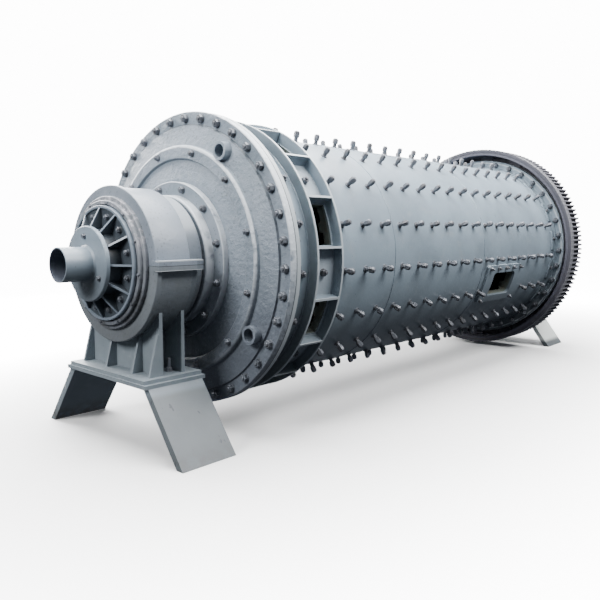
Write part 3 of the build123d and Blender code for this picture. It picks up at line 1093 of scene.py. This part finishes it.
@dataclass
class LinerStuds(Assembly):
    """Studs of the lining that stand out of the shell, row by row."""

    palette: Palette
    first: float = 0.670
    pitch: float = 0.242
    count: int = 16
    band: float = 0.210
    pocket: float = 0.425
    behind_ring: float = 0.585
    frame_span: Level = (2.86, 3.65)
    frame_angles: Level = (-32.0, -7.0)
    tall: Fastener = Fastener(0.041, 0.040, 0.026, 0.006, stud=0.0165, stud_height=0.007,
                              stem=0.030, sink=0.004)
    short: Fastener = Fastener(0.044, 0.022, 0.028, 0.006, stud=0.013, stud_height=0.014,
                               sink=0.004)

    def rows(self) -> List[float]:
        """Angle of each row."""
        return [ROW_ANGLE + ROW_PITCH * row for row in range(ROW_COUNT)]

    def over_frame(self, distance: float, angle: float) -> bool:
        """Tell whether a stud would stand where the manhole frame lies.

        Args:
            distance: Its place inward from the port-end head.
            angle: Its row's angle.

        Returns:
            True where the frame lies.
        """
        turn = (angle + 180) % 360 - 180
        low, high = self.frame_angles
        return self.frame_span[0] < distance < self.frame_span[1] and low < turn < high

    def tall_places(self) -> List[Matrix]:
        """Place the tall studs, each a little longer or shorter.

        Returns:
            The matrix of each stud.
        """
        chance = random.Random("tall studs")
        places = []
        for angle in self.rows():
            for number in range(self.count):
                distance = self.first + self.pitch * number
                if self.over_frame(distance, angle):
                    continue
                place = on_shell(from_port(distance), SHELL_RADIUS, angle, chance.uniform(0, 60))
                places.append(place @ Matrix.Diagonal((1, 1, chance.uniform(0.90, 1.04), 1)))
        return places

    def short_places(self) -> List[Matrix]:
        """Place the studs of the band, the closed pockets and behind the ring.

        Returns:
            The matrix of each stud.
        """
        chance = random.Random("short studs")
        places = []
        for row, angle in enumerate(self.rows()):
            distances = [self.band, self.behind_ring]
            if row % 2 == 0:
                distances.append(self.pocket)
            for distance in distances:
                spin = chance.uniform(0, 60)
                places.append(on_shell(from_port(distance), SHELL_RADIUS, angle, spin))
        return places

    def build(self) -> None:
        """Model the tall and the short studs."""
        groups = (("liner_studs", self.tall, self.tall_places()),
                  ("port_ring_studs", self.short, self.short_places()))
        for name, fastener, places in groups:
            piece = repeated(name, fastener.pattern(name + "_pattern"), places)
            self.dress(piece, STUD_STEEL, Body.DRUM, "drum_paint")


@dataclass
class ManholeStuds(Assembly):
    """Studs along the upper edge of the manhole frame and in its lower corners."""

    palette: Palette
    middle: float = 0.955
    angle: float = -19.5
    reach: float = 0.330
    edge_angle: float = 10.0
    seat: float = 0.9582
    stud: Fastener = Fastener(0.032, 0.018, 0.021, 0.004, stud=0.009, stud_height=0.018)

    def build(self) -> None:
        """Model five studs along the upper edge and one in each lower corner."""
        steps = [self.reach * share for share in (-1.0, -0.5, 0.0, 0.5, 1.0)]
        places = [on_shell(self.middle + step, self.seat, self.angle + self.edge_angle)
                  for step in steps]
        places += [on_shell(self.middle + side * self.reach, self.seat,
                            self.angle - self.edge_angle) for side in (-1, 1)]
        piece = repeated("manhole_studs", self.stud.pattern("manhole_stud_pattern"), places)
        self.dress(piece, STUD_STEEL, Body.DRUM, "drum_paint")


@dataclass
class GearPads(Assembly):
    """Thin pads between the rows at the gear end, with a small nut on each."""

    palette: Palette
    start: float = 4.425
    end: float = 4.505
    thickness: float = 0.012
    span: float = 13.0
    steps: int = 8
    sunk: float = 0.004
    edge: float = 0.002
    first: float = 6.0
    nut_at: float = 4.468
    nut_offset: float = 1.0
    nut: Fastener = Fastener(0.030, 0.013, 0.020, 0.004, stud=0.009, stud_height=0.004)

    def build(self) -> None:
        """Model the pads and their nuts."""
        x_span = (from_port(self.start), from_port(self.end))
        top = SHELL_RADIUS + self.thickness
        pad = arched("gear_pad_pattern", x_span, (SHELL_RADIUS - self.sunk, top), self.span,
                     self.steps, self.edge)
        turns = [about_axis(radians(90 - angle)) for angle in angles(self.first, ROW_COUNT)]
        pads = repeated("gear_end_pads", pad, turns)
        self.dress(pads, FINISHES["drum_paint"], Body.DRUM, "drum_paint")
        places = [on_shell(from_port(self.nut_at), top, angle, angle)
                  for angle in angles(self.first + self.nut_offset, ROW_COUNT)]
        nuts = repeated("gear_end_pad_nuts", self.nut.pattern("pad_nut_pattern"), places)
        self.dress(nuts, STUD_STEEL, Body.DRUM, "drum_paint")


@dataclass
class GearBand(Assembly):
    """Plain band on the gear's near edge, and the thin plate that closes its web."""

    palette: Palette
    band_span: Level = (2.1075, 2.1900)
    band_radii: Level = (1.1260, 1.1655)
    band_steps: int = 288
    plate_span: Level = (2.3170, 2.3230)
    plate_radii: Level = (1.0420, 1.0980)
    plate_steps: int = 144
    edge: float = 0.002

    def build(self) -> None:
        """Model the band and the plate."""
        rings = (("gear_near_band", self.band_span, self.band_radii, self.band_steps),
                 ("gear_web_plate", self.plate_span, self.plate_radii, self.plate_steps))
        for name, x_span, radii, steps in rings:
            ring = arched(name, x_span, radii, 360.0, steps, self.edge)
            self.dress(ring, BAND_PAINT, Body.DRUM, "gear_paint")


@dataclass
class Welds(Assembly):
    """Weld beads at the feet of the hoops and along the seams of the shell."""

    palette: Palette
    seams: Tuple[float, ...] = (-1.000, 0.500)
    seam_size: float = 0.004
    foot_size: float = 0.007
    foot_lift: float = 0.002
    foot_seed: int = 9

    def build(self) -> None:
        """Model each bead."""
        beads = [bead(f"seam_{number}", x, SHELL_RADIUS, self.seam_size, number)
                 for number, x in enumerate(self.seams)]
        beads += [bead(f"foot_{number}", x, SHELL_RADIUS + self.foot_lift, self.foot_size,
                       self.foot_seed + number) for number, x in enumerate(HOOP_FACES)]
        self.dress(joined("shell_welds", beads), WELD_PAINT, Body.DRUM, "drum_paint")


@dataclass
class AnchorStuds(Assembly):
    """Studs that stand on the base plates, between the cross plates."""

    palette: Palette
    anchor: Fastener = Fastener(0.036, 0.022, 0.026, stud=0.013, stud_height=0.062)
    at: float = 0.401
    offset: float = 0.314
    base_top: float = 0.493
    spin: float = 17.0

    def build(self) -> None:
        """Model the two studs of each end."""
        for end in End:
            places = [on_plate(end.x(self.at), side * self.offset, self.base_top, side * self.spin)
                      for side in (-1, 1)]
            name = end.prefix + "_anchor_studs"
            piece = repeated(name, self.anchor.pattern(name + "_pattern"), places)
            self.dress(piece, BOLT_STEEL, Body.STAND, "stand_paint")


@dataclass
class SolidFinishes:
    """Finishes of the solids that are shown as they are."""

    palette: Palette

    def build(self) -> None:
        """Give each node the material of its slot."""
        for part in frame["record"]["subparts"]:
            node = frame["nodes"][part["node"]]
            finish = NODE_FINISHES.get(part["node"], FINISHES[part["material_slot"]])
            material = self.palette.get(finish)
            if not node.material_slots:
                node.data.materials.append(material)
            for slot in node.material_slots:
                slot.material = material
            log.info("%s: %s", part["node"], part["material_slot"])


@dataclass(frozen=True)
class Lamp:
    """One soft area light: its place, the point it faces, its sides and its watts."""

    name: str
    place: Point
    target: Point
    size: Level
    power: float

    def hang(self) -> None:
        """Hang the light, unseen by the camera."""
        data = bpy.data.lights.new(self.name, "AREA")
        data.shape, data.energy = "RECTANGLE", self.power
        data.size, data.size_y = self.size
        lamp = bpy.data.objects.new(self.name, data)
        bpy.context.scene.collection.objects.link(lamp)
        lamp.location = self.place
        lamp.visible_camera = False
        way = Vector(self.target) - Vector(self.place)
        lamp.rotation_euler = way.to_track_quat("-Z", "Y").to_euler()


@dataclass
class Studio:
    """Floor, light and camera."""

    palette: Palette
    eye: Point = (-5.2141, -3.7519, 1.4523)
    ahead: Point = (0.7361, 0.6670, -0.1152)
    above: Point = (0.0815, 0.0816, 0.9933)
    lens: float = 38.74
    sensor_width: float = 36.0
    sight: float = 200.0
    floor_size: float = 60.0
    sky_color: Color = (0.80, 0.87, 1.0)
    sky_strength: float = 0.15
    lamps: Tuple[Lamp, ...] = (
        Lamp("sky", (0.0, 0.4, 7.0), (0.0, 0.0, 1.2), (10.0, 6.0), 3150.0),
        Lamp("back", (1.0, 7.5, 4.5), (0.0, 0.0, 1.4), (12.0, 5.0), 3200.0),
        Lamp("front", (-8.5, 0.2, 4.6), (-2.3, 0.0, 1.2), (2.4, 2.4), 610.0),
        Lamp("side", (1.0, -6.5, 8.0), (0.5, 0.0, 1.2), (8.0, 3.0), 1650.0),
    )

    def floor(self) -> None:
        """Lay a wide pale floor that throws no light back on the mill."""
        deselect()
        bpy.ops.mesh.primitive_plane_add(size=self.floor_size, location=(0, 0, -0.001))
        plane = placed("floor")
        plane.data.materials.append(self.palette.get(FloorFinish()))
        plane.visible_diffuse = plane.visible_glossy = False

    def world(self) -> None:
        """Set a white backdrop for the camera and a dim one for the light."""
        scene_world = bpy.data.worlds.new("studio")
        scene_world.use_nodes = True
        bpy.context.scene.world = scene_world
        nodes = Nodes(scene_world.node_tree)
        soft = nodes.add("ShaderNodeBackground", {"Color": self.sky_color,
                                                  "Strength": self.sky_strength})
        seen = nodes.add("ShaderNodeBackground", {"Color": (1.0, 1.0, 1.0),
                                                  "Strength": BACKDROP_STRENGTH})
        path = nodes.add("ShaderNodeLightPath", {})
        mix = nodes.add("ShaderNodeMixShader", {0: path.outputs["Is Camera Ray"],
                                                1: soft.outputs[0], 2: seen.outputs[0]})
        nodes.add("ShaderNodeOutputWorld", {"Surface": mix.outputs[0]})

    def camera(self) -> None:
        """Set the camera where the photograph was taken."""
        data = bpy.data.cameras.new("photo_view")
        data.sensor_width, data.lens = self.sensor_width, self.lens
        data.clip_end = self.sight
        lens = bpy.data.objects.new("photo_view", data)
        bpy.context.scene.collection.objects.link(lens)
        back = -Vector(self.ahead).normalized()
        right = Vector(self.above).cross(back).normalized()
        up = back.cross(right)
        lens.matrix_world = (Matrix.Translation(self.eye)
                             @ Matrix((right, up, back)).transposed().to_4x4())
        bpy.context.scene.camera = lens

    def build(self) -> None:
        """Set up the whole studio."""
        self.floor()
        for lamp in self.lamps:
            lamp.hang()
        self.world()
        self.camera()


def main() -> None:
    """Dress the solids, model the small pieces and set up the studio."""
    palette = Palette()
    SolidFinishes(palette).build()
    for assembly in (HeadBolts(palette), LinerStuds(palette), ManholeStuds(palette),
                     GearPads(palette), GearBand(palette), Welds(palette),
                     AnchorStuds(palette)):
        assembly.build()
    Studio(palette).build()


if __name__ == "__main__":
    main()
